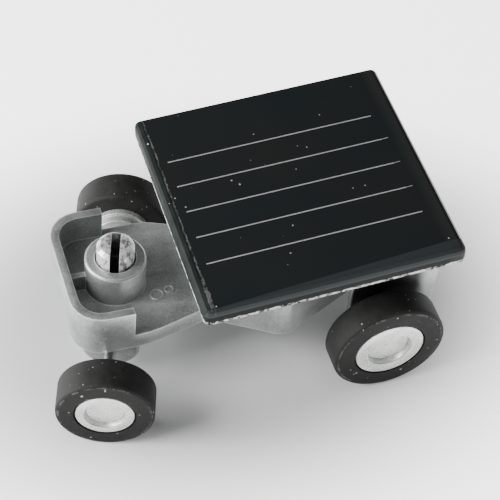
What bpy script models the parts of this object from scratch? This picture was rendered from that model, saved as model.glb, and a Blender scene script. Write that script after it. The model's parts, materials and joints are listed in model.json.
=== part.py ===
"""Miniature solar racing car: a palm-sized kit car whose motor runs straight off a solar panel.

Frame: +X towards the nose, +Y to the left, +Z up. The car is built with x = 0 at the rear
axle and then moved back, so that the origin is on the ground in the middle of its footprint.
Sizes are in millimetres times MM. The front bogie is modelled steered to the right, which
is its rest position.
"""
import bpy
import bmesh
from math import acos, atan2, ceil, cos, pi, radians, sin, tan
from mathutils import Matrix, Vector

MM = 0.001

# ---------------------------------------------------------------- driving dimensions (mm)
AXLE_R = 0.5
PLAY = 0.05                      # radial play of a turning shaft
SEAT = 0.02                      # gap left between pressed or glued pieces
FOOTPRINT_MIDDLE_X = 12.466      # ahead of the rear axle

REAR_TYRE_R = 5.3
REAR_RIM_R = 3.25
REAR_TYRE_Y = (9.0, 11.85)       # inner and outer face
FRONT_TYRE_R = 4.35
FRONT_RIM_R = 2.6
FRONT_TYRE_Y = (9.25, 12.35)

PIVOT_X = 22.55
STEER = radians(-18.3)           # bogie angle at rest about +Z
BARREL_R = 2.6
BARREL_HALF = 5.05
PIN_R = 1.2
PIN_HEAD_R = 1.7
PIN_TOP = 12.8
PIN_SLOT = 0.8
PIN_SLOT_END = -1.3              # the slot is closed on the pin's right
COLLAR_R = 2.1                   # the carrier's shoulder under the deck

WALL = 0.8
SKIRT_WALL = 0.55                # leaves the bogie's barrel room to turn
DECK_TOP = 7.6
DECK_UNDER = 7.1
SKIRT_BOTTOM = 5.9
RIM_TOP = 10.65
RIM_WALL = 0.78
NOSE_X = 27.55
NOSE_HALF = 6.3
NOSE_CORNER_R = 2.8
WALL_END_X = 22.35
BOSS_R = 2.75
BOSS_TOP = 11.05
BOSS_LEDGE = 9.6
BOSS_COUNTERBORE_R = 1.85

HOUSING_BOTTOM = 4.7
HOUSING_FRONT_X = 13.6
HOUSING_FRONT_HALF = 4.72
HOUSING_WIDEST = (8.6, 7.55)     # x and half width where the housing is widest
HOUSING_REAR = (1.4, 4.22)
ROOM_INSET = 0.92                # of the motor room at the widest place
ROOM_HALF = 3.62                 # beside the gear
BOX_BOTTOM = 9.0
BOX_HALF = 6.9
BOX_X = (-5.3, 13.4)
TAIL_BOTTOM = 6.5
TAIL_TOP = 11.6
TAIL_HALF = 8.0
TAIL_X = (-5.53, 2.9)            # its side plates reach forward past the rear axle
TAIL_PLATE = 0.6                 # thickness of the side plates
BEARING_Y = (5.6, 6.2)           # a thin plate on each side
BEARING_HALF_X = 1.5

PANEL_TOP_CENTRE = (6.3, 0.0, 16.75)
PANEL_PITCH = radians(4.5)       # nose edge lower
PANEL_LENGTH = 23.5
PANEL_WIDTH = 23.05
PANEL_THICKNESS = 1.7
PANEL_EDGE_R = 0.8
PANEL_CORNER_R = 0.6
BOARD_THICKNESS = 0.85
CELL_THICKNESS = 0.2
TAPE_THICKNESS = 0.7

GEAR_MODULE = 0.25
GEAR_TEETH = 30
PINION_TEETH = 10
GEAR_Y = (2.55, 3.35)
PINION_Y = (2.4, 3.5)
TOOTH_FILL = 0.9                 # tooth thickness as a part of half the pitch
MOTOR_ANGLE = radians(25.0)      # of the motor shaft above the rear axle, seen from the side
CAN_R = 2.2
CAN_WALL = 0.25
CAN_Y = (-3.15, 1.85)
SHAFT_R = 0.3
SHAFT_Y = (-3.6, 3.6)
CRADLE_Y = (-2.6, 0.9)           # the two ribs above and below the motor
RIB_WIDTH = 0.5

LEAD_R = 0.26
COVER_PIN_R = 0.45
COVER_PINS = [(12.15, 2.4), (12.15, -2.4), (-3.4, 5.6), (-3.4, -5.6)]

SEGMENTS = 32
MESH_DISTANCE = GEAR_MODULE * (GEAR_TEETH + PINION_TEETH) / 2
MOTOR_X = MESH_DISTANCE * cos(MOTOR_ANGLE)
MOTOR_Z = REAR_TYRE_R + MESH_DISTANCE * sin(MOTOR_ANGLE)

for old in list(bpy.data.objects):
    bpy.data.objects.remove(old, do_unlink=True)

parts = bpy.data.collections.new("solar_racing_car")
cutters = bpy.data.collections.new("cutters")
bpy.context.scene.collection.children.link(parts)
bpy.context.scene.collection.children.link(cutters)


# ---------------------------------------------------------------- materials
def material(name, color, roughness, metallic=0.0):
    made = bpy.data.materials.new(name)
    made.use_nodes = True
    shader = made.node_tree.nodes["Principled BSDF"]
    shader.inputs["Base Color"].default_value = (*color, 1.0)
    shader.inputs["Roughness"].default_value = roughness
    shader.inputs["Metallic"].default_value = metallic
    made.diffuse_color = (*color, 1.0)
    return made


SILVER_PLASTIC = material("silver_plastic", (0.46, 0.48, 0.47), 0.38, 0.6)
HUB_SILVER = material("hub_silver", (0.72, 0.74, 0.72), 0.35, 0.5)
TYRE_RUBBER = material("tyre_rubber", (0.02, 0.02, 0.02), 0.75)
STEEL = material("steel", (0.60, 0.60, 0.60), 0.25, 1.0)
BOARD_BLACK = material("board_black", (0.015, 0.02, 0.018), 0.5)
SILICON = material("silicon", (0.01, 0.014, 0.03), 0.25, 0.2)
EPOXY = material("epoxy", (0.012, 0.014, 0.016), 0.06)
FOAM = material("foam_tape", (0.75, 0.75, 0.72), 0.9)
NYLON = material("nylon", (0.82, 0.80, 0.74), 0.45)
BRASS = material("brass", (0.70, 0.52, 0.22), 0.3, 1.0)
MAGNET = material("magnet", (0.16, 0.16, 0.17), 0.4, 0.8)
COPPER = material("copper", (0.72, 0.34, 0.16), 0.35, 1.0)
SOLDER = material("solder", (0.62, 0.62, 0.60), 0.3, 1.0)
RED_WIRE = material("red_wire", (0.55, 0.03, 0.03), 0.45)
BLACK_WIRE = material("black_wire", (0.02, 0.02, 0.02), 0.45)


# ---------------------------------------------------------------- modelling helpers (mm in, metres out)
def shift(x=0.0, y=0.0, z=0.0):
    return Matrix.Translation(Vector((x, y, z)) * MM)


def along_y():
    """Turns a shape made about +Z so that its axis is +Y and its old -Z end faces -Y."""
    return Matrix.Rotation(-pi / 2, 4, "X")


def add_mesh(name, mesh, paint=None, matrix=None, smooth=True):
    made = bpy.data.objects.new(name, mesh)
    made.matrix_world = matrix or Matrix()
    if paint is None:
        cutters.objects.link(made)
        made.hide_render = True
        made.display_type = "WIRE"
        return made
    parts.objects.link(made)
    mesh.materials.append(paint)
    if smooth:
        mesh.shade_smooth()
        mesh.set_sharp_from_angle(angle=radians(35))
    return made


def box(name, low, high, paint=None, matrix=None):
    mesh = bpy.data.meshes.new(name)
    shape = bmesh.new()
    bmesh.ops.create_cube(shape, size=1.0)
    size = Vector(high) - Vector(low)
    middle = (Vector(high) + Vector(low)) / 2
    bmesh.ops.scale(shape, vec=size * MM, verts=shape.verts)
    bmesh.ops.translate(shape, vec=middle * MM, verts=shape.verts)
    shape.to_mesh(mesh)
    shape.free()
    return add_mesh(name, mesh, paint, matrix, smooth=False)


def cylinder(name, radius, low, high, paint=None, matrix=None, segments=SEGMENTS, top_radius=None):
    mesh = bpy.data.meshes.new(name)
    shape = bmesh.new()
    end_radius = radius if top_radius is None else top_radius
    bmesh.ops.create_cone(shape, cap_ends=True, segments=segments, radius1=radius * MM,
                          radius2=end_radius * MM, depth=(high - low) * MM)
    bmesh.ops.translate(shape, vec=Vector((0, 0, (high + low) / 2 * MM)), verts=shape.verts)
    shape.to_mesh(mesh)
    shape.free()
    return add_mesh(name, mesh, paint, matrix)


def turned(name, profile, paint=None, matrix=None, segments=SEGMENTS):
    """Turns a profile of (radius, height) points about +Z. A profile that doesn't start and
    end on the axis is closed into a ring. Points run down the outer side, top to bottom."""
    mesh = bpy.data.meshes.new(name)
    points = [Vector((radius, 0, height)) * MM for radius, height in profile]
    edges = [(i, i + 1) for i in range(len(points) - 1)]
    if profile[0][0] > 0 and profile[-1][0] > 0:
        edges.append((len(points) - 1, 0))
    mesh.from_pydata(points, edges, [])
    made = add_mesh(name, mesh, paint, matrix, smooth=False)
    screw = made.modifiers.new("turn", "SCREW")
    screw.axis = "Z"
    screw.steps = segments
    screw.render_steps = segments
    screw.use_merge_vertices = True
    screw.merge_threshold = 0.000001
    screw.use_smooth_shade = True
    return made


def rounded(corners, step=radians(15)):
    """Outline points for corners given as (x, y, radius)."""
    points = []
    for i, (x, y, radius) in enumerate(corners):
        here = Vector((x, y))
        if radius == 0:
            points.append(here)
            continue
        before = (Vector(corners[i - 1][:2]) - here).normalized()
        after = (Vector(corners[(i + 1) % len(corners)][:2]) - here).normalized()
        half = acos(max(-1.0, min(1.0, before.dot(after)))) / 2
        reach = radius / tan(half)
        centre = here + (before + after).normalized() * (radius / sin(half))
        first = here + before * reach - centre
        last = here + after * reach - centre
        turn = atan2(first.x * last.y - first.y * last.x, first.dot(last))
        count = max(2, ceil(abs(turn) / step))
        for k in range(count + 1):
            points.append(centre + Matrix.Rotation(turn * k / count, 2) @ first)
    return points


def plan(name, outline, low, high, paint=None, matrix=None, smooth=True):
    """A flat outline raised from one height to another, as a mesh."""
    curve = bpy.data.curves.new(name, "CURVE")
    curve.dimensions = "2D"
    curve.fill_mode = "BOTH"
    curve.extrude = (high - low) / 2 * MM
    spline = curve.splines.new("POLY")
    spline.points.add(len(outline) - 1)
    for point, (x, y) in zip(spline.points, outline):
        point.co = (x * MM, y * MM, 0, 1)
    spline.use_cyclic_u = True
    source = bpy.data.objects.new(name + "_outline", curve)
    parts.objects.link(source)
    bpy.context.view_layer.update()
    mesh = bpy.data.meshes.new_from_object(source.evaluated_get(bpy.context.evaluated_depsgraph_get()))
    bpy.data.objects.remove(source)
    shape = bmesh.new()
    shape.from_mesh(mesh)
    bmesh.ops.remove_doubles(shape, verts=shape.verts, dist=0.0000005)
    bmesh.ops.dissolve_limit(shape, angle_limit=radians(0.5), verts=shape.verts, edges=shape.edges)
    bmesh.ops.recalc_face_normals(shape, faces=shape.faces)
    bmesh.ops.translate(shape, vec=Vector((0, 0, (high + low) / 2 * MM)), verts=shape.verts)
    shape.to_mesh(mesh)
    shape.free()
    mesh.name = name
    mesh.materials.clear()
    return add_mesh(name, mesh, paint, matrix, smooth)


def combine(target, others, operation):
    for other in others:
        step = target.modifiers.new(operation.lower() + "_" + other.name, "BOOLEAN")
        step.operation = operation
        step.solver = "EXACT"
        step.object = other


def join(target, *others):
    combine(target, others, "UNION")


def cut(target, *others):
    combine(target, others, "DIFFERENCE")


def mirrored(half):
    """A whole outline from its left half, given nose first as (x, y, radius) with y above 0."""
    return half + [(x, -y, radius) for x, y, radius in reversed(half)]


# ---------------------------------------------------------------- chassis
def panel_frame():
    """Places a shape made with z = 0 on the panel's top face and x along the car."""
    return shift(*PANEL_TOP_CENTRE) @ Matrix.Rotation(PANEL_PITCH, 4, "Y")


def deck_outline(inset=0.0):
    """Nose tray and deck. The right side keeps its full width further back than the left."""
    nose = NOSE_X - inset
    side = NOSE_HALF - inset
    corner = NOSE_CORNER_R - inset
    neck = 4.3 - inset
    left = [(nose, side, corner), (20.8, side, 9.0), (13.0, neck, 0)]
    right = [(13.0, -neck, 0), (18.3, -side, 4.0), (nose, -side, corner)]
    return rounded(left + right)


def housing_outline():
    """The motor's housing bulges to the width of the motor, which lies across the car."""
    return rounded(mirrored([(HOUSING_FRONT_X, HOUSING_FRONT_HALF, 0.3), (*HOUSING_WIDEST, 1.6),
                             (*HOUSING_REAR, 0)]))


def make_nose(chassis):
    inner = NOSE_HALF - RIM_WALL
    wall = plan("nose_wall", deck_outline(), DECK_UNDER + 0.1, RIM_TOP)
    tray = rounded([(NOSE_X - RIM_WALL, inner, NOSE_CORNER_R - RIM_WALL), (10.0, inner, 0),
                    (10.0, -inner, 0), (NOSE_X - RIM_WALL, -inner, NOSE_CORNER_R - RIM_WALL)])
    wall_room = plan("nose_wall_room", tray, DECK_TOP, RIM_TOP + 1)
    behind_wall = box("behind_nose_wall", (5.0, -9, DECK_TOP), (WALL_END_X, 9, RIM_TOP + 1))
    join(chassis, wall)
    cut(chassis, wall_room, behind_wall)


def make_boss(chassis):
    at_pivot = shift(PIVOT_X)
    boss = turned("kingpin_boss", [(0, BOSS_TOP), (BOSS_R - 0.15, BOSS_TOP), (BOSS_R, BOSS_TOP - 0.15),
                                   (BOSS_R, DECK_UNDER + 0.05), (0, DECK_UNDER + 0.05)], matrix=at_pivot)
    rib = box("boss_rib", (PIVOT_X + 2.0, -0.25, DECK_TOP - 0.2), (NOSE_X - 0.5, 0.25, 9.5))
    bore = turned("kingpin_bore", [(0, BOSS_TOP + 1), (BOSS_COUNTERBORE_R, BOSS_TOP + 1),
                                   (BOSS_COUNTERBORE_R, BOSS_LEDGE), (PIN_R + PLAY, BOSS_LEDGE),
                                   (PIN_R + PLAY, DECK_UNDER - 1), (0, DECK_UNDER - 1)], matrix=at_pivot)
    join(chassis, boss, rib)
    cut(chassis, bore)


def make_tail():
    """A shell that is open in front and below, with a side plate just inside each rear wheel."""
    tail = plan("tail", rounded([(TAIL_X[1], TAIL_HALF, 0), (TAIL_X[0], TAIL_HALF, 0.4),
                                 (TAIL_X[0], -TAIL_HALF, 0.4), (TAIL_X[1], -TAIL_HALF, 0)]),
                TAIL_BOTTOM, TAIL_TOP)
    inner = TAIL_HALF - TAIL_PLATE
    cut(tail, box("tail_pocket", (TAIL_X[0] + WALL, -inner, TAIL_BOTTOM - 1),
                  (TAIL_X[1] + 1, inner, TAIL_TOP - WALL)))
    return tail


def make_housing(chassis):
    """Motor housing below, and above it the panel box, which the tail carries on behind the axle."""
    top_thickness = PANEL_THICKNESS + TAPE_THICKNESS + SEAT
    housing = plan("motor_housing", housing_outline(), HOUSING_BOTTOM, BOX_BOTTOM + 1)
    upper = plan("panel_box", rounded([(BOX_X[1], BOX_HALF, 1.2), (BOX_X[0], BOX_HALF, 1.2),
                                       (BOX_X[0], -BOX_HALF, 1.2), (BOX_X[1], -BOX_HALF, 1.2)]),
                 BOX_BOTTOM, 16.0)
    above_top = box("above_box_top", (-30, -30, -top_thickness), (30, 30, 10), matrix=panel_frame())
    join(chassis, upper, housing, make_tail())
    cut(chassis, above_top)
    room = [(HOUSING_FRONT_X - WALL, HOUSING_FRONT_HALF - WALL, 0.3),
            (HOUSING_WIDEST[0], HOUSING_WIDEST[1] - ROOM_INSET, 1.6), (HOUSING_REAR[0], ROOM_HALF, 0),
            (BOX_X[0] + WALL, ROOM_HALF, 0)]
    lower_room = plan("motor_room", rounded(mirrored(room)), HOUSING_BOTTOM - 1, BOX_BOTTOM + 1.2)
    x_low, x_high = BOX_X[0] + WALL, BOX_X[1] - WALL
    y_side = BOX_HALF - WALL
    room_corner = 1.2 - WALL / 2
    upper_room = plan("panel_box_room", rounded([(x_high, y_side, room_corner), (x_low, y_side, room_corner),
                                                 (x_low, -y_side, room_corner),
                                                 (x_high, -y_side, room_corner)]),
                      BOX_BOTTOM + WALL, 15.9)
    ceiling = box("below_box_top", (-30, -30, -top_thickness - WALL), (30, 30, 10), matrix=panel_frame())
    cut(upper_room, ceiling)
    tail_room = box("tail_room", (x_low, -y_side, TAIL_BOTTOM - 1),
                    (BEARING_HALF_X, y_side, BOX_BOTTOM + 1.1))
    lead_window = box("lead_window", (-3.4, -3.6, 11.0), (0.6, 3.6, 16.0))
    cut(chassis, lower_room, upper_room, tail_room, lead_window)


def make_bearings(chassis):
    """Two plates that hold the rear axle in slots open at the bottom, and four sockets for
    the bottom cover's pins."""
    for side, name in ((1, "left"), (-1, "right")):
        low, high = sorted((side * BEARING_Y[0], side * BEARING_Y[1]))
        block = box(name + "_bearing_block", (-BEARING_HALF_X, low, HOUSING_BOTTOM + 0.02),
                    (BEARING_HALF_X, high, BOX_BOTTOM + 1.4))
        near, far = sorted((side * BEARING_Y[0], side * (BOX_HALF - WALL / 2)))
        root = box(name + "_bearing_root", (-BEARING_HALF_X + 0.1, near, BOX_BOTTOM + 0.1),
                   (BEARING_HALF_X - 0.1, far, BOX_BOTTOM + 1.3))
        join(chassis, block, root)
    for x, y in COVER_PINS:
        post = cylinder("cover_socket_%+d%+d" % (x, y), 0.95, HOUSING_BOTTOM + 0.01, BOX_BOTTOM + 0.6,
                        matrix=shift(x, y), segments=20)
        join(chassis, post)
    slot_r = AXLE_R + PLAY
    turn = along_y()
    bearing = cylinder("axle_bearing", slot_r, -8, 8, matrix=shift(0, 0, REAR_TYRE_R) @ turn, segments=24)
    slot = box("axle_slot", (-slot_r, -8, HOUSING_BOTTOM - 1), (slot_r, 8, REAR_TYRE_R))
    cut(chassis, bearing, slot)
    for x, y in COVER_PINS:
        socket = cylinder("socket_bore_%+d%+d" % (x, y), COVER_PIN_R + SEAT, HOUSING_BOTTOM - 1,
                          HOUSING_BOTTOM + 1.7, matrix=shift(x, y), segments=16)
        cut(chassis, socket)


def make_chassis():
    chassis = plan("chassis", deck_outline(), SKIRT_BOTTOM, DECK_TOP, SILVER_PLASTIC, smooth=False)
    make_nose(chassis)
    under = plan("under_deck", deck_outline(SKIRT_WALL), SKIRT_BOTTOM - 1, DECK_UNDER)
    cut(chassis, under)
    make_boss(chassis)
    make_housing(chassis)
    make_bearings(chassis)
    make_motor_saddles(chassis)
    weld(chassis)


def make_cover():
    """Bottom cover: keeps the rear axle in its slots and the motor against the chassis."""
    top = HOUSING_BOTTOM - 2 * SEAT
    low = top - 0.55
    half = [(13.1, 4.25, 0.3), (8.6, 7.0, 1.4), (1.45, 3.8, 0), (1.3, 3.1, 0), (0.35, 3.1, 0),
            (0.35, 6.35, 0.1), (-4.4, 6.35, 0.6)]
    cover = plan("bottom_cover", rounded(mirrored(half)), low, top, SILVER_PLASTIC, smooth=False)
    axis = shift(MOTOR_X, 0, MOTOR_Z) @ along_y()
    for side, name in ((1, "left"), (-1, "right")):
        near, far = sorted((side * (BEARING_Y[0] + 0.1), side * (BEARING_Y[1] - 0.2)))
        keeper = box(name + "_axle_keeper", (-0.45, near, top - 0.2), (0.3, far, REAR_TYRE_R - AXLE_R - PLAY))
        join(cover, keeper)
    for y in CRADLE_Y:
        join(cover, box("cradle_%+d" % (y * 10), (MOTOR_X - 2.0, y, top - 0.2),
                        (MOTOR_X + 2.0, y + RIB_WIDTH, MOTOR_Z - 0.7)))
    front_stop = box("cap_stop", (MOTOR_X - 1.4, -4.15, top - 0.2), (MOTOR_X + 1.4, -3.75, MOTOR_Z - 0.8))
    rear_stop = box("can_stop", (MOTOR_X - 1.4, CAN_Y[1] + 0.05, top - 0.2),
                    (MOTOR_X + 1.4, PINION_Y[0] - 0.15, MOTOR_Z - 0.8))
    join(cover, front_stop, rear_stop)
    for x, y in COVER_PINS:
        join(cover, cylinder("cover_pin_%+d%+d" % (x, y), COVER_PIN_R, top - 0.2, top + 1.4,
                             matrix=shift(x, y), segments=16))
    can_room = cylinder("cover_can_room", CAN_R + SEAT, -3.72, CAN_Y[1] + 0.03, matrix=axis)
    window = box("gear_window", (-4.25, GEAR_Y[0] - 0.15, low - 1), (4.25, GEAR_Y[1] + 0.15, top + 0.01))
    cut(cover, can_room, window)
    weld(cover)


# ---------------------------------------------------------------- solar panel
def make_panel():
    frame = panel_frame()
    half_x, half_y = PANEL_LENGTH / 2, PANEL_WIDTH / 2
    block = rounded([(half_x, half_y, PANEL_CORNER_R), (-half_x, half_y, PANEL_CORNER_R),
                     (-half_x, -half_y, PANEL_CORNER_R), (half_x, -half_y, PANEL_CORNER_R)], step=radians(30))
    dome = plan("epoxy_dome", block, -PANEL_THICKNESS, 0, EPOXY, frame, smooth=False)
    weight = dome.data.attributes.new("bevel_weight_edge", "FLOAT", "EDGE")
    for edge in dome.data.edges:
        if all(dome.data.vertices[i].co.z > -0.1 * MM for i in edge.vertices):
            weight.data[edge.index].value = 1.0
    bevel = dome.modifiers.new("top_edge", "BEVEL")
    bevel.limit_method = "WEIGHT"
    bevel.width = PANEL_EDGE_R * MM
    bevel.segments = 3
    cell_low = -PANEL_THICKNESS + BOARD_THICKNESS + SEAT
    cell_high = cell_low + CELL_THICKNESS
    board_x, board_y = half_x - 0.45, half_y - 0.45
    recess = box("board_recess", (-board_x - SEAT, -board_y - SEAT, -PANEL_THICKNESS - 1),
                 (board_x + SEAT, board_y + SEAT, cell_high + SEAT), matrix=frame)
    cut(dome, recess)
    box("panel_board", (-board_x, -board_y, -PANEL_THICKNESS), (board_x, board_y, cell_low - SEAT),
        BOARD_BLACK, frame)
    box("solar_cell", (-board_x + 0.5, -board_y + 0.5, cell_low), (board_x - 0.5, board_y - 0.5, cell_high),
        SILICON, frame)
    tape_high = -PANEL_THICKNESS - SEAT
    tape_low = tape_high - TAPE_THICKNESS + SEAT
    box("foam_tape_front", (-4.6, -5.9, tape_low), (6.4, 5.9, tape_high), FOAM, frame)
    box("foam_tape_rear", (-11.3, -5.9, tape_low), (-9.9, 5.9, tape_high), FOAM, frame)


def pad_place(side):
    """The middle of a soldered lead end under the panel board."""
    return panel_frame() @ shift(-7.2, side * 1.6, -PANEL_THICKNESS - SEAT)


def make_solder():
    for side, name in ((1, "red"), (-1, "black")):
        turned("solder_joint_" + name, [(0, 0), (0.6, 0), (0.5, -0.22), (0.25, -0.36), (0, -0.36)],
               SOLDER, pad_place(side), segments=16)


# ---------------------------------------------------------------- motor and gears
def make_motor_saddles(chassis):
    """Two ribs under the top of the panel box that press the motor into its cradle."""
    axis = shift(MOTOR_X, 0, MOTOR_Z) @ along_y()
    for y in CRADLE_Y:
        join(chassis, box("saddle_%+d" % (y * 10), (MOTOR_X - 1.7, y, MOTOR_Z + 1.0),
                          (MOTOR_X + 1.7, y + RIB_WIDTH, 13.9)))
    cut(chassis, cylinder("chassis_can_room", CAN_R + SEAT, CAN_Y[0] - 0.03, CAN_Y[1] + 0.03, matrix=axis))


def make_motor():
    axis = shift(MOTOR_X, 0, MOTOR_Z) @ along_y()
    bush = SHAFT_R + PLAY
    hold = SHAFT_R + SEAT
    back, front = CAN_Y
    inside = CAN_R - CAN_WALL
    turned("motor_can", [(bush, front), (CAN_R - 0.25, front), (CAN_R, front - 0.25), (CAN_R, back),
                         (inside, back), (inside, front - CAN_WALL), (bush, front - CAN_WALL)], STEEL, axis)
    turned("motor_magnet", [(0.45, 1.55), (1.05, 1.55), (1.05, -1.9), (0.45, -1.9)], MAGNET, axis,
           segments=24)
    turned("motor_coil", [(1.2, 1.3), (1.75, 1.3), (1.75, -2.35), (hold, -2.35), (hold, -2.1), (1.2, -2.1)],
           COPPER, axis, segments=24)
    turned("motor_commutator", [(hold, -2.38), (0.62, -2.38), (0.62, -3.04), (hold, -3.04)], BRASS, axis,
           segments=16)
    cap_profile = [(bush, back + 0.08), (inside - SEAT, back + 0.08), (inside - SEAT, back - SEAT),
                   (CAN_R - 0.06, back - SEAT), (CAN_R - 0.06, -3.7), (bush, -3.7)]
    cap = turned("motor_end_cap", cap_profile, NYLON, axis, segments=24)
    for side, name in ((1, "front"), (-1, "rear")):
        x = MOTOR_X + side * 0.72
        cut(cap, box(name + "_brush_slot", (x - 0.06, -5, MOTOR_Z - 0.27), (x + 0.06, 0, MOTOR_Z + 0.27)))
        box("motor_brush_" + name, (x - 0.04, -4.0, MOTOR_Z - 0.25), (x + 0.04, -2.45, MOTOR_Z + 0.25), BRASS)
    weld(cap)
    cylinder("motor_shaft", SHAFT_R, SHAFT_Y[0], SHAFT_Y[1], STEEL, axis, segments=20)


def gear_outline(teeth, addendum, tooth_angle):
    """Involute spur gear with 20 degree flanks. One tooth points along tooth_angle."""
    pitch_r = GEAR_MODULE * teeth / 2
    base_r = pitch_r * cos(radians(20))
    tip_r = pitch_r + addendum * GEAR_MODULE
    root_r = pitch_r - 1.2 * GEAR_MODULE

    def roll(radius):
        angle = acos(min(1.0, base_r / radius))
        return tan(angle) - angle

    def half_tooth(radius):
        return pi / (2 * teeth) * TOOTH_FILL + roll(pitch_r) - roll(max(radius, base_r))

    flank = [root_r, (root_r + pitch_r) / 2, pitch_r, tip_r]
    points = []
    for tooth in range(teeth):
        middle = tooth_angle + 2 * pi * tooth / teeth
        for radius in flank:
            angle = middle - half_tooth(radius)
            points.append(Vector((radius * cos(angle), radius * sin(angle))))
        for radius in reversed(flank):
            angle = middle + half_tooth(radius)
            points.append(Vector((radius * cos(angle), radius * sin(angle))))
    return points


def make_gears():
    """The gear on the rear axle and the pinion on the motor, in mesh: a tooth of the gear
    points at the motor, where the pinion has a gap."""
    axle = shift(0, 0, REAR_TYRE_R) @ along_y()
    axis = shift(MOTOR_X, 0, MOTOR_Z) @ along_y()
    gear = plan("rear_gear", gear_outline(GEAR_TEETH, 0.85, -MOTOR_ANGLE), *GEAR_Y, NYLON, axle)
    cut(gear, cylinder("gear_bore", AXLE_R + SEAT, -9, 9, matrix=axle, segments=24))
    facing = pi - MOTOR_ANGLE + pi / PINION_TEETH
    pinion = plan("motor_pinion", gear_outline(PINION_TEETH, 0.9, facing), *PINION_Y, BRASS, axis)
    cut(pinion, cylinder("pinion_bore", SHAFT_R + SEAT, -9, 9, matrix=axis, segments=20))
    weld(gear)
    weld(pinion)


# ---------------------------------------------------------------- wheels
def make_wheel(name, place, tyre_r, rim_r, tyre_y, recess, neck, shoulder):
    """A tyre on a one-piece hub, with its outer face at the higher y. recess and neck are
    (radius, depth) of the dish in the face and of the boss behind the rim."""
    low, high = tyre_y
    near = shoulder * 0.3
    tyre = [(tyre_r - shoulder, high), (tyre_r - near, high - near), (tyre_r, high - shoulder),
            (tyre_r, low + shoulder), (tyre_r - near, low + near), (tyre_r - shoulder, low),
            (rim_r, low), (rim_r, high)]
    turned("%s_tyre" % name, tyre, TYRE_RUBBER, place, segments=40)
    seat_r = rim_r - SEAT
    floor = high - recess[1]
    bore = AXLE_R + SEAT
    turned("%s_hub" % name, [(0, floor), (recess[0] - 0.12, floor), (recess[0], high), (seat_r - 0.1, high),
                             (seat_r, high - 0.1), (seat_r, low - 0.5), (neck[0], low - 0.5),
                             (neck[0], low - neck[1]), (bore, low - neck[1]), (bore, floor - 0.4),
                             (0, floor - 0.4)], HUB_SILVER, place, segments=32)


def make_rear_wheels():
    centre = shift(0, 0, REAR_TYRE_R)
    turned_round = {"left": along_y(), "right": Matrix.Rotation(pi, 4, "Z") @ along_y()}
    cylinder("rear_axle", AXLE_R, -REAR_TYRE_Y[1] + 1.0, REAR_TYRE_Y[1] - 1.0, STEEL, centre @ along_y(),
             segments=24)
    for side, turn in turned_round.items():
        make_wheel("rear_%s" % side, centre @ turn, REAR_TYRE_R, REAR_RIM_R, REAR_TYRE_Y, (2.1, 0.5),
                   (2.2, 0.85), 0.4)


def make_bogie():
    """Front carrier with its split kingpin, and the wheels and axle that turn in it."""
    bogie = shift(PIVOT_X) @ Matrix.Rotation(STEER, 4, "Z")
    centre = bogie @ shift(0, 0, FRONT_TYRE_R)
    pin = [(0, PIN_TOP), (PIN_HEAD_R - 0.35, PIN_TOP), (PIN_HEAD_R, PIN_TOP - 0.35),
           (PIN_HEAD_R, BOSS_LEDGE + 0.08), (PIN_R, BOSS_LEDGE + 0.08), (PIN_R, DECK_UNDER - PLAY),
           (COLLAR_R, DECK_UNDER - PLAY), (COLLAR_R, FRONT_TYRE_R + 1.0), (0, FRONT_TYRE_R + 1.0)]
    carrier = turned("front_carrier", pin, SILVER_PLASTIC, bogie)
    barrel_ends = [(0, BARREL_HALF), (BARREL_R - 0.2, BARREL_HALF), (BARREL_R, BARREL_HALF - 0.2),
                   (BARREL_R, 0.2 - BARREL_HALF), (BARREL_R - 0.2, -BARREL_HALF), (0, -BARREL_HALF)]
    barrel = turned("barrel", barrel_ends, matrix=centre @ along_y())
    slot = box("kingpin_slot", (-PIN_SLOT / 2, PIN_SLOT_END, DECK_UNDER + 0.9),
               (PIN_SLOT / 2, 3, PIN_TOP + 1), matrix=bogie)
    bore = cylinder("front_axle_bore", AXLE_R + PLAY, -9, 9, matrix=centre @ along_y(), segments=24)
    join(carrier, barrel)
    cut(carrier, slot, bore)
    weld(carrier)
    turned_round = {"left": along_y(), "right": Matrix.Rotation(pi, 4, "Z") @ along_y()}
    cylinder("front_axle", AXLE_R, -FRONT_TYRE_Y[1] + 0.95, FRONT_TYRE_Y[1] - 0.95, STEEL, centre @ along_y(),
             segments=24)
    for side, turn in turned_round.items():
        make_wheel("front_%s" % side, centre @ turn, FRONT_TYRE_R, FRONT_RIM_R, FRONT_TYRE_Y, (1.85, 0.42),
                   (2.35, 1.25), 0.25)


# ---------------------------------------------------------------- motor leads
def smooth_route(stops, steps=6):
    """Points on a Catmull-Rom curve through the stops."""
    ends = [2 * stops[0] - stops[1]] + stops + [2 * stops[-1] - stops[-2]]
    points = []
    for a, b, c, d in zip(ends, ends[1:], ends[2:], ends[3:]):
        for k in range(steps):
            t = k / steps
            points.append(0.5 * (2 * b + (c - a) * t + (2 * a - 5 * b + 4 * c - d) * t ** 2
                                 + (3 * b - a - 3 * c + d) * t ** 3))
    return points + [stops[-1]]


def lead(name, stops, paint):
    curve = bpy.data.curves.new(name, "CURVE")
    curve.dimensions = "3D"
    curve.bevel_depth = LEAD_R * MM
    curve.bevel_resolution = 2
    curve.use_fill_caps = True
    route = smooth_route([Vector(stop) * MM for stop in stops])
    spline = curve.splines.new("POLY")
    spline.points.add(len(route) - 1)
    for point, place in zip(spline.points, route):
        point.co = (*place, 1)
    curve.materials.append(paint)
    parts.objects.link(bpy.data.objects.new(name, curve))


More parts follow.
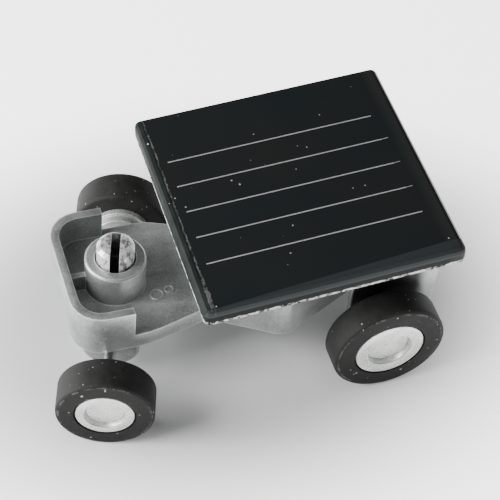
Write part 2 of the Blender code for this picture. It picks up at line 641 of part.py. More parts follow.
def make_leads():
    """Both leads run from the brushes up through the window in the box top to the board."""
    start_z = MOTOR_Z + 0.3
    for side, name, paint, middle in (
            (-1, "lead_red", RED_WIRE, [(5.1, -4.25, 9.6), (2.6, -4.7, 11.2), (0.2, -3.4, 12.3)]),
            (1, "lead_black", BLACK_WIRE, [(3.5, -4.05, 9.5), (1.2, -3.3, 10.7), (-0.8, -0.9, 11.6)])):
        pad = (pad_place(side) @ Vector((0, 0, -0.39 * MM))) / MM
        below = pad - Vector((0, 0, 1.3))
        x = MOTOR_X - side * 0.72
        lead(name, [(x, -3.85, start_z + 0.02), (x, -3.95, start_z + 0.6)] + middle + [below, pad], paint)


def mirror_drive():
    """The drive is drawn with its gears on the left. This puts them on the right, with the
    recesses and ribs that belong to it."""
    belongs = ("motor_can", "motor_magnet", "motor_coil", "motor_commutator", "motor_end_cap", "motor_brush",
               "motor_shaft", "motor_pinion", "rear_gear", "lead_red", "lead_black",
               "saddle", "chassis_can_room", "cradle", "cap_stop", "can_stop", "cover_can_room",
               "gear_window", "front_brush_slot", "rear_brush_slot")
    across = Matrix.Diagonal((1, -1, 1, 1))
    for made in list(parts.objects) + list(cutters.objects):
        if made.name.startswith(belongs):
            place = made.matrix_basis
            made.data.transform(place.inverted() @ across @ place)
            turning = [step for step in made.modifiers if step.type == "SCREW"]
            for step in turning:
                step.use_normal_flip = not step.use_normal_flip
            if made.type == "MESH" and not turning:
                made.data.flip_normals()


def weld(made):
    step = made.modifiers.new("weld", "WELD")
    step.merge_threshold = 0.0000003


make_chassis()
make_cover()
make_panel()
make_solder()
make_motor()
make_gears()
make_rear_wheels()
make_bogie()
make_leads()
mirror_drive()
for made in list(parts.objects) + list(cutters.objects):
    made.location.x -= FOOTPRINT_MIDDLE_X * MM
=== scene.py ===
"""Looks of the miniature solar racing car: materials, smooth wheels, small surface detail, floor,
lights and camera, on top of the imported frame. +X is the nose, +Y the car's left, +Z up."""
import bpy
import bmesh
import json
from math import cos, pi, radians, sin
from mathutils import Matrix, Vector


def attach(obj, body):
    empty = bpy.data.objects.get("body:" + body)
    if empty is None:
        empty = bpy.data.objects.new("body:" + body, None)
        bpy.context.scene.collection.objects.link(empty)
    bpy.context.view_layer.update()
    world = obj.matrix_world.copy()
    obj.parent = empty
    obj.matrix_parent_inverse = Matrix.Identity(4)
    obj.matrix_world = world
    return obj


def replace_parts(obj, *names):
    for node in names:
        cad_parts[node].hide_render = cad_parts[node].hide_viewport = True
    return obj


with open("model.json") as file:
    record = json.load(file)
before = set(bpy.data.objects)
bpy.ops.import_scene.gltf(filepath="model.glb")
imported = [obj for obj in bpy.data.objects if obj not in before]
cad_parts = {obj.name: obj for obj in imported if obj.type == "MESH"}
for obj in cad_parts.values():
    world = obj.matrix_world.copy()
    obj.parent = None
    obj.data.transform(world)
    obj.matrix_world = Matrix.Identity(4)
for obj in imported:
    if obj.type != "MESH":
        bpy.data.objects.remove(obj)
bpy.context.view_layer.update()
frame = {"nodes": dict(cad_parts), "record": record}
nodes = frame["nodes"]

# Sizes are in millimetres times MM, as in the CAD.
MM = 0.001
BACK_X = 12.466                  # the rear axle lies this far behind the origin
PIVOT_X = 22.55 - BACK_X
STEER = radians(-18.3)           # bogie angle at rest
AXLE_R = 0.5
SEAT = 0.02                      # gap between pressed pieces
DECK_TOP = 7.6
BOSS_LEDGE = 9.6
PIN_TOP = 12.8
PIN_SLOT = 0.8
REAR_TYRE_R = 5.3
REAR_RIM_R = 3.25
REAR_TYRE_Y = (9.0, 11.85)       # inner and outer face
FRONT_TYRE_R = 4.35
FRONT_RIM_R = 2.6
FRONT_TYRE_Y = (9.25, 12.35)
TAIL_FRONT_X = 2.9 - BACK_X      # front edge of the tail's side plates
TAIL_HALF = 8.0
TAIL_TOP = 11.6
PANEL_TOP_CENTRE = (6.3 - BACK_X, 0.0, 16.75)
PANEL_PITCH = radians(4.5)
PANEL_HALF_X = 11.75
PANEL_HALF_Y = 11.525
PANEL_THICKNESS = 1.7
PANEL_EDGE_R = 0.8
FLOOR_GLOW = 3.2                 # the floor glows as painted light, except under the car, where the glow fades out as a painted shadow


# ---------------------------------------------------------------- node helpers
class Nodes:
    """Builds one material around its Principled BSDF."""

    def __init__(self, name, color=(0.5, 0.5, 0.5), roughness=0.5, metallic=0.0):
        self.material = bpy.data.materials.new(name)
        self.material.use_nodes = True
        self.tree = self.material.node_tree
        self.shader = self.tree.nodes["Principled BSDF"]
        self.set("Base Color", (*color, 1.0))
        self.set("Roughness", roughness)
        self.set("Metallic", metallic)
        self.place = self.tree.nodes.new("ShaderNodeTexCoord").outputs["Object"]

    def set(self, socket, value):
        self.shader.inputs[socket].default_value = value

    def link(self, source, socket):
        self.tree.links.new(source, self.shader.inputs[socket])

    def within(self, origin, turn):
        """Measures places from origin, in axes turned by turn, from here on."""
        made = self.tree.nodes.new("ShaderNodeMapping")
        made.vector_type = "TEXTURE"
        made.inputs["Location"].default_value = Vector(origin) * MM
        made.inputs["Rotation"].default_value = turn
        self.tree.links.new(self.place, made.inputs["Vector"])
        self.place = made.outputs["Vector"]

    def axes(self):
        """x, y and z of the place, in millimetres."""
        made = self.tree.nodes.new("ShaderNodeSeparateXYZ")
        self.tree.links.new(self.place, made.inputs["Vector"])
        return [self.math("MULTIPLY", made.outputs[axis], 1 / MM) for axis in "XYZ"]

    def noise(self, cells_per_mm, detail=3.0, rough=0.5, stretch=None):
        made = self.tree.nodes.new("ShaderNodeTexNoise")
        made.inputs["Scale"].default_value = cells_per_mm / MM
        made.inputs["Detail"].default_value = detail
        made.inputs["Roughness"].default_value = rough
        source = self.place
        if stretch:
            scaled = self.tree.nodes.new("ShaderNodeMapping")
            scaled.inputs["Scale"].default_value = stretch
            self.tree.links.new(source, scaled.inputs["Vector"])
            source = scaled.outputs["Vector"]
        self.tree.links.new(source, made.inputs["Vector"])
        return made.outputs["Fac"]

    def ramp(self, source, *stops):
        """stops are (position, value or colour)."""
        made = self.tree.nodes.new("ShaderNodeValToRGB")
        while len(made.color_ramp.elements) < len(stops):
            made.color_ramp.elements.new(0.5)
        for element, (position, value) in zip(made.color_ramp.elements, stops):
            element.position = position
            tone = value if isinstance(value, tuple) else (value, value, value)
            element.color = (*tone, 1.0)
        self.tree.links.new(source, made.inputs["Fac"])
        return made.outputs["Color"]

    def math(self, kind, first, second=0.0):
        made = self.tree.nodes.new("ShaderNodeMath")
        made.operation = kind
        for socket, value in zip(made.inputs, (first, second)):
            if isinstance(value, (int, float)):
                socket.default_value = value
            else:
                self.tree.links.new(value, socket)
        return made.outputs["Value"]

    def fade(self, value, start, end):
        """0 where value is start, 1 where it is end, and smooth between."""
        made = self.tree.nodes.new("ShaderNodeMapRange")
        made.interpolation_type = "SMOOTHSTEP"
        made.inputs["From Min"].default_value = min(start, end)
        made.inputs["From Max"].default_value = max(start, end)
        made.inputs["To Min"].default_value = 0.0 if start < end else 1.0
        made.inputs["To Max"].default_value = 1.0 if start < end else 0.0
        self.tree.links.new(value, made.inputs["Value"])
        return made.outputs["Result"]

    def line(self, value, middle, half_width):
        """1 within half_width of middle, and 0 outside."""
        return self.math("LESS_THAN", self.math("ABSOLUTE", self.math("SUBTRACT", value, middle)), half_width)

    def mix(self, factor, first, second):
        made = self.tree.nodes.new("ShaderNodeMix")
        made.data_type = "RGBA"
        for name, value in (("Factor_Float", factor), ("A_Color", first), ("B_Color", second)):
            socket = next(i for i in made.inputs if i.identifier == name)
            if isinstance(value, tuple):
                socket.default_value = (*value, 1.0)
            elif isinstance(value, (int, float)):
                socket.default_value = value
            else:
                self.tree.links.new(value, socket)
        return next(o for o in made.outputs if o.identifier == "Result_Color")

    def bump(self, height, depth_mm, strength=1.0):
        made = self.tree.nodes.new("ShaderNodeBump")
        made.inputs["Strength"].default_value = strength
        made.inputs["Distance"].default_value = depth_mm * MM
        self.tree.links.new(height, made.inputs["Height"])
        self.link(made.outputs["Normal"], "Normal")

    def edges(self, radius_mm):
        """1 along sharp edges and corners, 0 on open faces."""
        rounded = self.tree.nodes.new("ShaderNodeBevel")
        rounded.samples = 6
        rounded.inputs["Radius"].default_value = radius_mm * MM
        flat = self.tree.nodes.new("ShaderNodeNewGeometry").outputs["True Normal"]
        dot = self.tree.nodes.new("ShaderNodeVectorMath")
        dot.operation = "DOT_PRODUCT"
        self.tree.links.new(rounded.outputs["Normal"], dot.inputs[0])
        self.tree.links.new(flat, dot.inputs[1])
        return self.fade(dot.outputs["Value"], 0.992, 0.90)

    def specks(self, cells_per_mm, size, share):
        """Small round specks: size is a part of the cell, share how many cells hold one."""
        cells = self.tree.nodes.new("ShaderNodeTexVoronoi")
        cells.inputs["Scale"].default_value = cells_per_mm / MM
        self.tree.links.new(self.place, cells.inputs["Vector"])
        split = self.tree.nodes.new("ShaderNodeSeparateColor")
        self.tree.links.new(cells.outputs["Color"], split.inputs["Color"])
        chosen = self.math("LESS_THAN", split.outputs["Red"], share)
        radius = self.math("MULTIPLY", split.outputs["Green"], size)
        inside = self.math("LESS_THAN", cells.outputs["Distance"], radius)
        return self.math("MULTIPLY", chosen, inside)


# ---------------------------------------------------------------- materials
def on_pin_shank(made, z):
    """1 on the pin from the bottom of its slot to just under its top face."""
    return made.math("MULTIPLY", made.fade(z, 7.9, 8.0), made.fade(z, PIN_TOP - 0.01, PIN_TOP - 0.03))


def moulded_silver(name, base, roughness, metallic, grain=0.5, pin=False, shade_behind_tyres=False, painted_edge_highlights=True):
    """Silver-pigmented plastic: fine flake, cloudy tone, grained face, and a patchy painted highlight along
    sharp edges.
    pin adds the kingpin's rough cut top and paints the inside of its slot near black as painted shade. The
    switch for the tail paints its side walls near black behind the rear tyres, as a painted shadow of the
    tyres and panel."""
    made = Nodes(name, base, roughness, metallic)
    cloud = made.noise(0.30, 4.0, 0.6)
    flake = made.noise(5.5, 3.0, 0.75)
    tone = made.math("ADD", made.math("MULTIPLY", cloud, 1 - grain), made.math("MULTIPLY", flake, grain))
    dark = tuple(c * 0.62 for c in base)
    light = tuple(min(1.0, c * 1.35) for c in base)
    body = made.ramp(tone, (0.36, dark), (0.5, base), (0.64, light))
    pale = tuple(min(1.0, c * 1.9) for c in base)
    body = made.mix(made.specks(2.4, 0.22, 0.10), body, pale)
    body = made.mix(made.specks(3.1, 0.20, 0.10), body, tuple(c * 0.45 for c in base))
    height = made.noise(6.0, 4.0, 0.7)
    if shade_behind_tyres:
        x, y, z = made.axes()
        # The tail's side walls beside the rear tyres are painted near black: a painted shadow of the tyres
        # and panel.
        beside_tyre = made.math("MULTIPLY", made.fade(x, TAIL_FRONT_X - 0.15, TAIL_FRONT_X - 0.20),
                                made.fade(x, TAIL_FRONT_X - 7.4, TAIL_FRONT_X - 6.1))
        across = made.math("ABSOLUTE", y)
        outside = made.math("MULTIPLY", made.fade(across, TAIL_HALF - 0.10, TAIL_HALF - 0.05),
                            made.fade(z, TAIL_TOP + 0.15, TAIL_TOP))
        body = made.mix(made.math("MULTIPLY", beside_tyre, outside), body, (0.020, 0.021, 0.020))
    if pin:
        made.within((PIVOT_X, 0, 0), (0, 0, STEER))
        on_pin = made.fade(made.axes()[2], BOSS_LEDGE, BOSS_LEDGE + 0.6)
        cuts = made.noise(1.6, 4.0, 0.75, (1.0, 1.0, 0.5))
        rough_cut = made.ramp(cuts, (0.40, (0.16, 0.165, 0.16)), (0.50, (0.70, 0.72, 0.70)),
                              (0.60, (1.0, 1.0, 1.0)))
        body = made.mix(on_pin, body, rough_cut)
    if painted_edge_highlights:
        # A lighter, patchy tone along sharp edges and corners: a painted highlight.
        lighter_edge = made.math("MULTIPLY", made.edges(0.15), made.ramp(cloud, (0.3, 0.55), (0.6, 1.0)))
        body = made.mix(lighter_edge, body, (0.92, 0.94, 0.92))
    if pin:
        # The inside of the pin's slot is painted near black: painted shade in the slot.
        x, y, z = made.axes()
        inside = made.math("MULTIPLY", made.line(x, 0.0, PIN_SLOT / 2 + 0.01), made.fade(y, -1.32, -1.28))
        body = made.mix(made.math("MULTIPLY", inside, on_pin_shank(made, z)), body, (0.006, 0.006, 0.006))
    made.link(body, "Base Color")
    made.link(made.ramp(flake, (0.35, roughness - 0.08), (0.65, roughness + 0.10)), "Roughness")
    made.bump(height, 0.03, 0.55)
    return made.material


def rubber(name, tyre_r=0.0, shoulder=0.0, outer=0.0):
    """Black rubber with a faint bloom, dust and scuffs, a lighter broken line round the outer shoulder as a
    painted highlight, and the outer face painted darker as painted shade.
    """
    made = Nodes(name, (0.010, 0.010, 0.010), 0.60)
    made.set("Specular IOR Level", 0.14)
    cloud = made.noise(0.7, 4.0, 0.65)
    body = made.ramp(cloud, (0.35, (0.0170, 0.0172, 0.0165)), (0.68, (0.030, 0.030, 0.029)))
    dust = made.math("MAXIMUM", made.specks(1.1, 0.14, 0.45), made.specks(2.6, 0.20, 0.22))
    scuff = made.fade(made.noise(3.0, 5.0, 0.75), 0.60, 0.66)
    x, y, z = made.axes()
    squared = made.math("ADD", made.math("MULTIPLY", x, x), made.math("MULTIPLY", y, y))
    radius = made.math("SQRT", squared)
    # A lighter, broken line round the outer shoulder: a painted highlight.
    on_shoulder = made.math("MULTIPLY", made.line(radius, tyre_r - shoulder * 0.9, 0.10),
                            made.fade(z, outer - shoulder * 1.3, outer - shoulder * 0.4))
    lighter_edge = made.math("MULTIPLY", on_shoulder, made.fade(made.noise(1.1, 4.0, 0.7), 0.46, 0.62))
    # The outer face is painted darker than the tread: painted shade.
    face = made.fade(z, outer - shoulder * 0.5, outer - shoulder * 0.1)
    body = made.mix(made.math("MULTIPLY", face, 0.65), body, (0.006, 0.006, 0.006))
    body = made.mix(lighter_edge, body, (0.075, 0.074, 0.070))
    body = made.mix(made.math("MULTIPLY", scuff, 0.5), body, (0.06, 0.06, 0.057))
    made.link(made.mix(dust, body, (0.30, 0.30, 0.28)), "Base Color")
    made.link(made.ramp(cloud, (0.3, 0.50), (0.7, 0.70)), "Roughness")
    made.bump(made.noise(6.0, 4.0, 0.65), 0.03, 0.5)
    return made.material


def resin():
    """Poured resin over a dark board: near black and glossy on top. Its sides are duller. A broken painted
    highlight runs along the nose edge where the rounding starts; the near side has a lighter painted
    reflection band with painted shade below it, the rear edge a faint painted highlight band, and the lower
    edges a rough broken pale line."""
    made = Nodes("resin", (0.004, 0.005, 0.006), 0.06)
    made.set("Specular IOR Level", 0.09)
    made.within(PANEL_TOP_CENTRE, (0, PANEL_PITCH, 0))
    x, y, z = made.axes()
    cloud = made.noise(0.12, 2.0)
    body = made.ramp(cloud, (0.35, (0.0135, 0.0175, 0.0190)), (0.65, (0.0170, 0.0190, 0.0190)))
    nose_side = made.fade(x, PANEL_HALF_X - PANEL_EDGE_R, PANEL_HALF_X - PANEL_EDGE_R + 0.05)
    widening = made.math("ADD", y, made.math("MULTIPLY", x, -0.045))
    near_side = made.fade(widening, PANEL_HALF_Y - PANEL_EDGE_R - 0.10, PANEL_HALF_Y - PANEL_EDGE_R + 0.05)
    wall = made.fade(z, -PANEL_EDGE_R + 0.05, -PANEL_EDGE_R - 0.05)
    side_tone = made.ramp(made.noise(0.5, 4.0, 0.6), (0.35, (0.008, 0.011, 0.010)),
                          (0.65, (0.016, 0.021, 0.019)))
    body = made.mix(nose_side, body, side_tone)
    # The near side's rounding is painted lighter: a painted reflection band.
    body = made.mix(near_side, body, (0.030, 0.035, 0.037))
    # The near wall below that band is painted darker: painted shade.
    body = made.mix(made.math("MULTIPLY", made.fade(y, 11.0, 11.4), wall), body, (0.006, 0.007, 0.007))
    # A lighter band along the rear edge: a painted highlight.
    rear_edge_highlight = made.fade(x, 1.9 - PANEL_HALF_X, 0.8 - PANEL_HALF_X)
    body = made.mix(made.math("MULTIPLY", rear_edge_highlight, 0.6), body, (0.030, 0.032, 0.030))
    ragged = made.math("MULTIPLY", made.math("SUBTRACT", made.noise(1.6, 5.0, 0.7), 0.5), 0.5)
    # A broken light line along the nose edge where the rounding starts: a painted highlight.
    towards_corner = made.fade(y, 6.5, 10.8)
    width = made.math("ADD", made.math("MULTIPLY", towards_corner, 0.12), 0.07)
    off_line = made.math("ABSOLUTE", made.math("SUBTRACT", made.math("ADD", x, ragged),
                                               PANEL_HALF_X - PANEL_EDGE_R - 0.02))
    nose_edge_highlight = made.math("MULTIPLY", made.math("LESS_THAN", off_line, width),
                      made.fade(made.noise(1.3, 4.0, 0.7), 0.36, 0.60))
    nose_edge_highlight = made.math("MULTIPLY", nose_edge_highlight, made.fade(z, -0.75, -0.35))
    body = made.mix(nose_edge_highlight, body, (0.12, 0.13, 0.125))
    lower = made.fade(made.math("ADD", z, made.math("MULTIPLY", ragged, 0.7)), -PANEL_THICKNESS + 0.34,
                      -PANEL_THICKNESS + 0.20)
    lower = made.math("MULTIPLY", lower, made.fade(made.noise(1.8, 5.0, 0.8), 0.42, 0.54))
    body = made.mix(lower, body, (0.62, 0.64, 0.60))
    patchy = made.fade(made.noise(0.16, 3.0, 0.6), 0.42, 0.62)
    fine = made.specks(1.7, 0.16, made.math("MULTIPLY", patchy, 0.30))
    dust = made.math("MAXIMUM", made.specks(0.60, 0.075, 0.22), fine)
    body = made.mix(dust, body, (0.42, 0.44, 0.42))
    made.link(body, "Base Color")
    dull = made.math("MAXIMUM", made.math("MAXIMUM", nose_side, near_side), made.math("MAXIMUM", dust, lower))
    made.link(made.ramp(dull, (0.0, 0.06), (1.0, 0.55)), "Roughness")
    made.bump(made.noise(2.2, 4.0, 0.7), 0.03, 0.10)
    return made.material


def plain(name, base, roughness, metallic=0.0, cells=6.0, depth=0.01, spread=0.15):
    """A simple finish with a small variation of tone, roughness and height."""
    made = Nodes(name, base, roughness, metallic)
    grain = made.noise(cells, 3.0, 0.6)
    dark = tuple(c * (1 - spread) for c in base)
    light = tuple(min(1.0, c * (1 + spread)) for c in base)
    made.link(made.ramp(grain, (0.3, dark), (0.7, light)), "Base Color")
    made.link(made.ramp(grain, (0.3, max(0.02, roughness - 0.06)), (0.7, roughness + 0.06)), "Roughness")
    made.bump(grain, depth, 0.4)
    return made.material


def banded(name, dark, light, roughness, bands_per_mm, depth):
    """Metal with fine rings round an axis across the car: turned steel or a winding."""
    made = Nodes(name, light, roughness, 1.0)
    wave = made.tree.nodes.new("ShaderNodeTexWave")
    wave.bands_direction = "Y"
    wave.inputs["Scale"].default_value = bands_per_mm / MM
    wave.inputs["Distortion"].default_value = 0.8
    made.tree.links.new(made.place, wave.inputs["Vector"])
    made.link(made.ramp(wave.outputs["Fac"], (0.0, dark), (1.0, light)), "Base Color")
    made.link(made.ramp(wave.outputs["Fac"], (0.0, roughness - 0.06), (1.0, roughness + 0.08)), "Roughness")
    made.bump(wave.outputs["Fac"], depth, 0.5)
    return made.material


SILVER_BASE = (0.33, 0.35, 0.345)
HUB_BASE = (0.60, 0.62, 0.595)
SILVER = moulded_silver("silver_plastic", SILVER_BASE, 0.36, 0.50, shade_behind_tyres=True)
SILVER_SOFT = moulded_silver("silver_plastic_soft", SILVER_BASE, 0.36, 0.50, painted_edge_highlights=False)
PIN_SILVER = moulded_silver("silver_plastic_pin", SILVER_BASE, 0.36, 0.50, pin=True)
HUB = moulded_silver("hub_silver", HUB_BASE, 0.32, 0.50, grain=0.35)
RUBBER = rubber("tyre_rubber")
FINISH = {
    "silver_plastic": SILVER,
    "hub_silver": HUB,
    "tyre_rubber": RUBBER,
    "epoxy": resin(),
    "steel": banded("steel", (0.50, 0.50, 0.50), (0.64, 0.64, 0.64), 0.28, 3.0, 0.004),
    "board_black": plain("board_black", (0.012, 0.016, 0.014), 0.5),
    "silicon": plain("silicon", (0.008, 0.011, 0.022), 0.22, 0.2),
    "foam_tape": plain("foam_tape", (0.42, 0.42, 0.40), 0.9, cells=8.0, depth=0.05),
    "nylon": plain("nylon", (0.55, 0.54, 0.50), 0.45, spread=0.05),
    "brass": plain("brass", (0.68, 0.50, 0.21), 0.3, 1.0),
    "magnet": plain("magnet", (0.13, 0.13, 0.14), 0.5, 0.7, cells=10.0),
    "copper": banded("copper_winding", (0.34, 0.12, 0.05), (0.72, 0.32, 0.14), 0.35, 6.0, 0.03),
    "solder": plain("solder", (0.60, 0.60, 0.58), 0.3, 1.0, cells=4.0, depth=0.03),
    "red_wire": plain("red_wire", (0.50, 0.02, 0.02), 0.42),
    "black_wire": plain("black_wire", (0.015, 0.015, 0.015), 0.42),
}
for part in frame["record"]["subparts"]:
    mesh = nodes[part["node"]].data
    mesh.materials.clear()
    mesh.materials.append(FINISH[part["material_slot"]])
nodes["front_carrier"].data.materials[0] = PIN_SILVER


def make_smoothing():
    """A modifier's node group that shades faces smooth, except across edges over 35 degrees."""
    group = bpy.data.node_groups.new("smooth_by_angle", "GeometryNodeTree")
    group.interface.new_socket(name="Geometry", in_out="INPUT", socket_type="NodeSocketGeometry")
    group.interface.new_socket(name="Geometry", in_out="OUTPUT", socket_type="NodeSocketGeometry")
    made = {kind: group.nodes.new(kind) for kind in (
        "NodeGroupInput", "NodeGroupOutput", "GeometryNodeRemoveAttribute", "GeometryNodeInputMeshEdgeAngle",
        "FunctionNodeCompare")}
    faces = group.nodes.new("GeometryNodeSetShadeSmooth")
    edges = group.nodes.new("GeometryNodeSetShadeSmooth")
    edges.domain = "EDGE"
    edges.inputs["Shade Smooth"].default_value = False
    made["GeometryNodeRemoveAttribute"].inputs["Name"].default_value = "custom_normal"
    compare = made["FunctionNodeCompare"]
    compare.operation = "GREATER_THAN"
    compare.inputs["B"].default_value = radians(35)
    link = group.links.new
    link(made["GeometryNodeInputMeshEdgeAngle"].outputs["Unsigned Angle"], compare.inputs["A"])
    link(compare.outputs["Result"], edges.inputs["Selection"])
    link(made["NodeGroupInput"].outputs[0], made["GeometryNodeRemoveAttribute"].inputs["Geometry"])
    link(made["GeometryNodeRemoveAttribute"].outputs["Geometry"], faces.inputs["Geometry"])
    link(faces.outputs["Geometry"], edges.inputs["Geometry"])
    link(edges.outputs["Geometry"], made["NodeGroupOutput"].inputs[0])
    return group


SMOOTHING = make_smoothing()


def soften(node, width_mm):
    """Rounds the sharp edges of a moulding a little, so that they catch the light."""
    weld = nodes[node].modifiers.new("weld", "WELD")
    weld.merge_threshold = 0.000002
    bevel = nodes[node].modifiers.new("edge", "BEVEL")
    bevel.width = width_mm * MM
    bevel.segments = 2
    bevel.limit_method = "ANGLE"
    bevel.angle_limit = radians(40)
    bevel.use_clamp_overlap = True
    nodes[node].modifiers.new("smooth", "NODES").node_group = SMOOTHING


soften("chassis", 0.09)
soften("front_carrier", 0.08)
soften("bottom_cover", 0.06)


# ---------------------------------------------------------------- pieces
def add_piece(name, mesh, paint, body, matrix=None):
    made = bpy.data.objects.new(name, mesh)
    bpy.context.scene.collection.objects.link(made)
    made.matrix_world = matrix or Matrix()
    mesh.materials.append(paint)
    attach(made, body)
    return made


def shift(x=0.0, y=0.0, z=0.0):
    return Matrix.Translation(Vector((x, y, z)) * MM)


def lathe(name, profile, segments=128):
    """A mesh turned about Z from (radius, height) points in millimetres."""
    mesh = bpy.data.meshes.new(name)
    work = bmesh.new()
    rings = []
    for radius, height in profile:
        if radius == 0:
            rings.append([work.verts.new((0, 0, height * MM))] * segments)
            continue
        ring = []
        for step in range(segments):
            angle = 2 * pi * step / segments
            ring.append(work.verts.new((radius * cos(angle) * MM, radius * sin(angle) * MM, height * MM)))
        rings.append(ring)
    pairs = list(zip(rings, rings[1:]))
    if profile[0][0] != 0:
        pairs.append((rings[-1], rings[0]))
    for first, second in pairs:
        for step in range(segments):
            after = (step + 1) % segments
            corners = []
            for vert in (first[step], first[after], second[after], second[step]):
                if vert not in corners:
                    corners.append(vert)
            if len(corners) > 2:
                work.faces.new(corners)
    bmesh.ops.recalc_face_normals(work, faces=work.faces)
    work.to_mesh(mesh)
    work.free()
    mesh.polygons.foreach_set("use_smooth", [True] * len(mesh.polygons))
    mesh.set_sharp_from_angle(angle=radians(38))
    return mesh


def make_wheel(name, place, body, tyre_r, rim_r, tyre_y, recess, neck, shoulder):
    """A smooth tyre and dished hub in place of the faceted ones. recess and neck are the
    (radius, depth) of the dish in the face and of the boss behind the rim."""
    low, high = tyre_y
    tyre = []
    for corner_y, outward in ((high, 1), (low, -1)):
        arc = []
        for step in range(5):
            angle = radians(90) * step / 4
            arc.append((tyre_r - shoulder + shoulder * sin(angle),
                        corner_y - outward * shoulder * (1 - cos(angle))))
        tyre += arc if outward > 0 else list(reversed(arc))
    tyre += [(rim_r, low), (rim_r, high - 0.35), (rim_r + 0.13, high - 0.30), (rim_r + 0.15, high)]
    paint = rubber(name + "_rubber", tyre_r, shoulder, high)
    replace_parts(add_piece(name + "_tyre_round", lathe(name + "_tyre", tyre), paint, body,
                          place), name + "_tyre")
    seat_r = rim_r - SEAT
    floor = high - recess[1]
    dish = recess[0]
    bore = AXLE_R + SEAT
    hub = [(0, floor + 0.04), (dish * 0.55, floor + 0.03), (dish - 0.26, floor),
           (dish - 0.24, floor - 0.10), (dish - 0.19, floor - 0.10), (dish - 0.17, floor),
           (dish - 0.03, high - 0.10), (dish - 0.02, high - 0.16), (dish + 0.02, high - 0.16),
           (dish + 0.03, high), (seat_r - 0.10, high), (seat_r - 0.03, high - 0.04), (seat_r, high - 0.12),
           (seat_r, low - 0.45), (seat_r - 0.05, low - 0.5), (neck[0], low - 0.5),
           (neck[0], low - neck[1] + 0.05), (neck[0] - 0.05, low - neck[1]), (bore, low - neck[1]),
           (bore, floor - 0.4), (0, floor - 0.4)]
    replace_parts(add_piece(name + "_hub_round", lathe(name + "_hub", hub), HUB, body, place),
                name + "_hub")


def make_wheels():
    turns = {"left": Matrix.Rotation(-pi / 2, 4, "X"),
             "right": Matrix.Rotation(pi, 4, "Z") @ Matrix.Rotation(-pi / 2, 4, "X")}
    bogie = shift(PIVOT_X) @ Matrix.Rotation(STEER, 4, "Z")
    for side, turn in turns.items():
        make_wheel("rear_" + side, shift(-BACK_X, 0, REAR_TYRE_R) @ turn, "rear_wheelset",
                   REAR_TYRE_R, REAR_RIM_R, REAR_TYRE_Y, (2.1, 0.5), (2.2, 0.85), 0.4)
        make_wheel("front_" + side, bogie @ shift(0, 0, FRONT_TYRE_R) @ turn, "front_wheelset",
                   FRONT_TYRE_R, FRONT_RIM_R, FRONT_TYRE_Y, (1.85, 0.42), (2.35, 1.25), 0.30)


def make_grid_lines():
    """Five printed silver lines, seen through the resin, that run along the car. The outer two
    stop a little short at the rear."""
    paint = plain("grid_silver", (0.50, 0.51, 0.50), 0.45, 0.3, cells=12.0, spread=0.25)
    mesh = bpy.data.meshes.new("grid_lines")
    work = bmesh.new()
    front, rear, half_width, thick, spacing, first = 10.12, -9.15, 0.058, 0.012, 3.01, 0.47
    short = {-2: 0.0, 2: -0.33}
    on_panel = shift(*PANEL_TOP_CENTRE) @ Matrix.Rotation(PANEL_PITCH, 4, "Y")
    for line in range(-2, 3):
        back = rear + short.get(line, 0.0)
        place = shift((front + back) / 2, line * spacing + first, thick / 2)
        size = Matrix.Diagonal(((front - back) * MM, 2 * half_width * MM, thick * MM, 1.0))
        bmesh.ops.create_cube(work, size=1.0, matrix=place @ size)
        if line not in short:
            tip = shift(rear - 0.32, line * spacing + first - 0.02, thick / 2)
            size = Matrix.Diagonal((0.5 * MM, 1.1 * half_width * MM, thick * MM, 1.0))
            bmesh.ops.create_cube(work, size=1.0, matrix=tip @ size)
    work.to_mesh(mesh)
    work.free()
    add_piece("grid_lines", mesh, paint, "chassis", on_panel)


def ring_mesh(name, radius, tube):
    """A low moulded ring that lies flat."""
    profile = []
    for step in range(9):
        angle = pi * step / 8
        profile.append((radius + tube * cos(angle), tube * sin(angle)))
    profile.append((radius - tube, -0.02))
    profile.append((radius + tube, -0.02))
    return lathe(name, profile, 64)


def ridge_mesh(name, length, width, height):
    """A low moulded ridge along X with sloping sides and ends."""
    mesh = bpy.data.meshes.new(name)
    half, side = length / 2, width / 2
    low = [(-half, -side), (half, -side), (half, side), (-half, side)]
    high = [(-half + height, -side * 0.3), (half - height, -side * 0.3), (half - height, side * 0.3),
            (-half + height, side * 0.3)]
    points = [(x * MM, y * MM, -0.02 * MM) for x, y in low] + [(x * MM, y * MM, height * MM) for x, y in high]
    faces = [(3, 2, 1, 0), (4, 5, 6, 7), (0, 1, 5, 4), (1, 2, 6, 5), (2, 3, 7, 6), (3, 0, 4, 7)]
    mesh.from_pydata(points, [], faces)
    return mesh


def make_marks():
    """Small moulded features of the deck: two plain rings and a crease."""
    for name, radius, tube, x, y in (("deck_ring_large", 0.56, 0.12, 19.25, 2.35),
                                     ("deck_ring_small", 0.36, 0.11, 18.05, 2.0)):
        add_piece(name, ring_mesh(name, radius, tube), SILVER, "chassis",
                  shift(x - BACK_X, y, DECK_TOP))
    turn = Matrix.Rotation(radians(6.0), 4, "Z")
    add_piece("deck_crease", ridge_mesh("deck_crease", 3.4, 0.9, 0.06), SILVER_SOFT, "chassis",
              shift(17.95 - BACK_X, -0.24, DECK_TOP) @ turn)


make_wheels()
make_grid_lines()
make_marks()


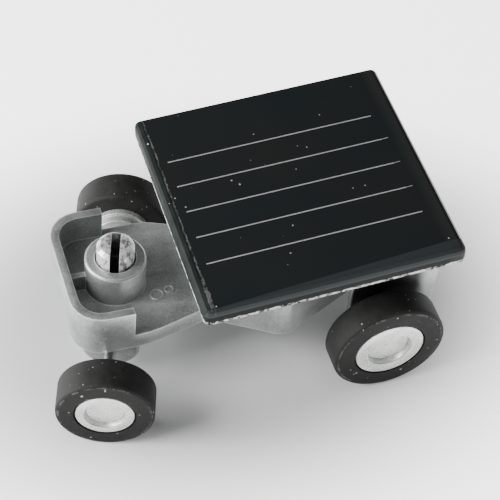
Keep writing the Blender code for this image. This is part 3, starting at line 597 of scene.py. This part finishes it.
# ---------------------------------------------------------------- floor, lights, camera
def make_stage():
    """A white floor in a room that is bright to the front left and dark behind."""
    mesh = bpy.data.meshes.new("floor")
    work = bmesh.new()
    bmesh.ops.create_grid(work, x_segments=1, y_segments=1, size=0.6)
    work.to_mesh(mesh)
    work.free()
    floor = bpy.data.objects.new("floor", mesh)
    bpy.context.scene.collection.objects.link(floor)
    shade = Nodes("floor_white", (0.92, 0.92, 0.92), 0.8)
    shade.set("Emission Strength", FLOOR_GLOW)
    x, y, z = shade.axes()
    # The glow fades out within an oval round the car: a painted shadow under the car.
    x, y = shade.math("DIVIDE", x, 17.0), shade.math("DIVIDE", y, 12.0)
    away = shade.math("SQRT", shade.math("ADD", shade.math("MULTIPLY", x, x), shade.math("MULTIPLY", y, y)))
    shade.link(shade.ramp(shade.fade(away, 0.95, 2.6), (0.0, 0.0), (1.0, 1.0)), "Emission Color")
    mesh.materials.append(shade.material)
    world = bpy.data.worlds.new("studio")
    bpy.context.scene.world = world
    world.use_nodes = True
    tree = world.node_tree
    towards = tree.nodes.new("ShaderNodeVectorMath")
    towards.operation = "DOT_PRODUCT"
    towards.inputs[1].default_value = Vector((0.90, -0.15, 0.32)).normalized()
    tree.links.new(tree.nodes.new("ShaderNodeTexCoord").outputs["Generated"], towards.inputs[0])
    bright = tree.nodes.new("ShaderNodeMapRange")
    bright.interpolation_type = "SMOOTHSTEP"
    bright.inputs["From Min"].default_value = -0.10
    bright.inputs["From Max"].default_value = 0.60
    bright.inputs["To Min"].default_value = 1.0
    bright.inputs["To Max"].default_value = 10.0
    tree.links.new(towards.outputs["Value"], bright.inputs["Value"])
    tree.links.new(bright.outputs["Result"], tree.nodes["Background"].inputs["Strength"])


def area_light(name, place, size, power, target=(0.0, 0.0, 0.006)):
    data = bpy.data.lights.new(name, "AREA")
    data.shape = "RECTANGLE"
    data.size, data.size_y = size
    data.energy = power
    made = bpy.data.objects.new(name, data)
    bpy.context.scene.collection.objects.link(made)
    made.location = place
    made.rotation_mode = "QUATERNION"
    made.rotation_quaternion = (Vector(target) - Vector(place)).to_track_quat("-Z", "Y")


def make_camera():
    """Front left and above: azimuth, elevation and roll, and the aim across, up and away."""
    azimuth, elevation, roll = radians(156.91), radians(49.74), radians(7.13)
    aim_right, aim_up, distance = 8.64, -3.59, 155.47
    back = Vector((sin(azimuth) * cos(elevation), -cos(azimuth) * cos(elevation), sin(elevation)))
    right = (-back).cross(Vector((0, 0, 1))).normalized()
    up = right.cross(-back)
    turned_right = cos(roll) * right + sin(roll) * up
    turned_up = -sin(roll) * right + cos(roll) * up
    place = -(aim_right * turned_right + aim_up * turned_up - distance * back)
    place.x -= BACK_X
    data = bpy.data.cameras.new("camera")
    data.sensor_width = 36.0
    data.lens = 1599.22 / 500 * 36.0
    data.clip_start, data.clip_end = 0.01, 5.0
    camera = bpy.data.objects.new("camera", data)
    bpy.context.scene.collection.objects.link(camera)
    axes = Matrix((turned_right, turned_up, back)).transposed().to_4x4()
    camera.matrix_world = Matrix.Translation(place * MM) @ axes
    bpy.context.scene.camera = camera


make_stage()
area_light("key", (0.20, 0.02, 0.16), (0.12, 0.12), 0.6)
area_light("low_front", (0.20, -0.05, 0.035), (0.08, 0.05), 0.55)
make_camera()
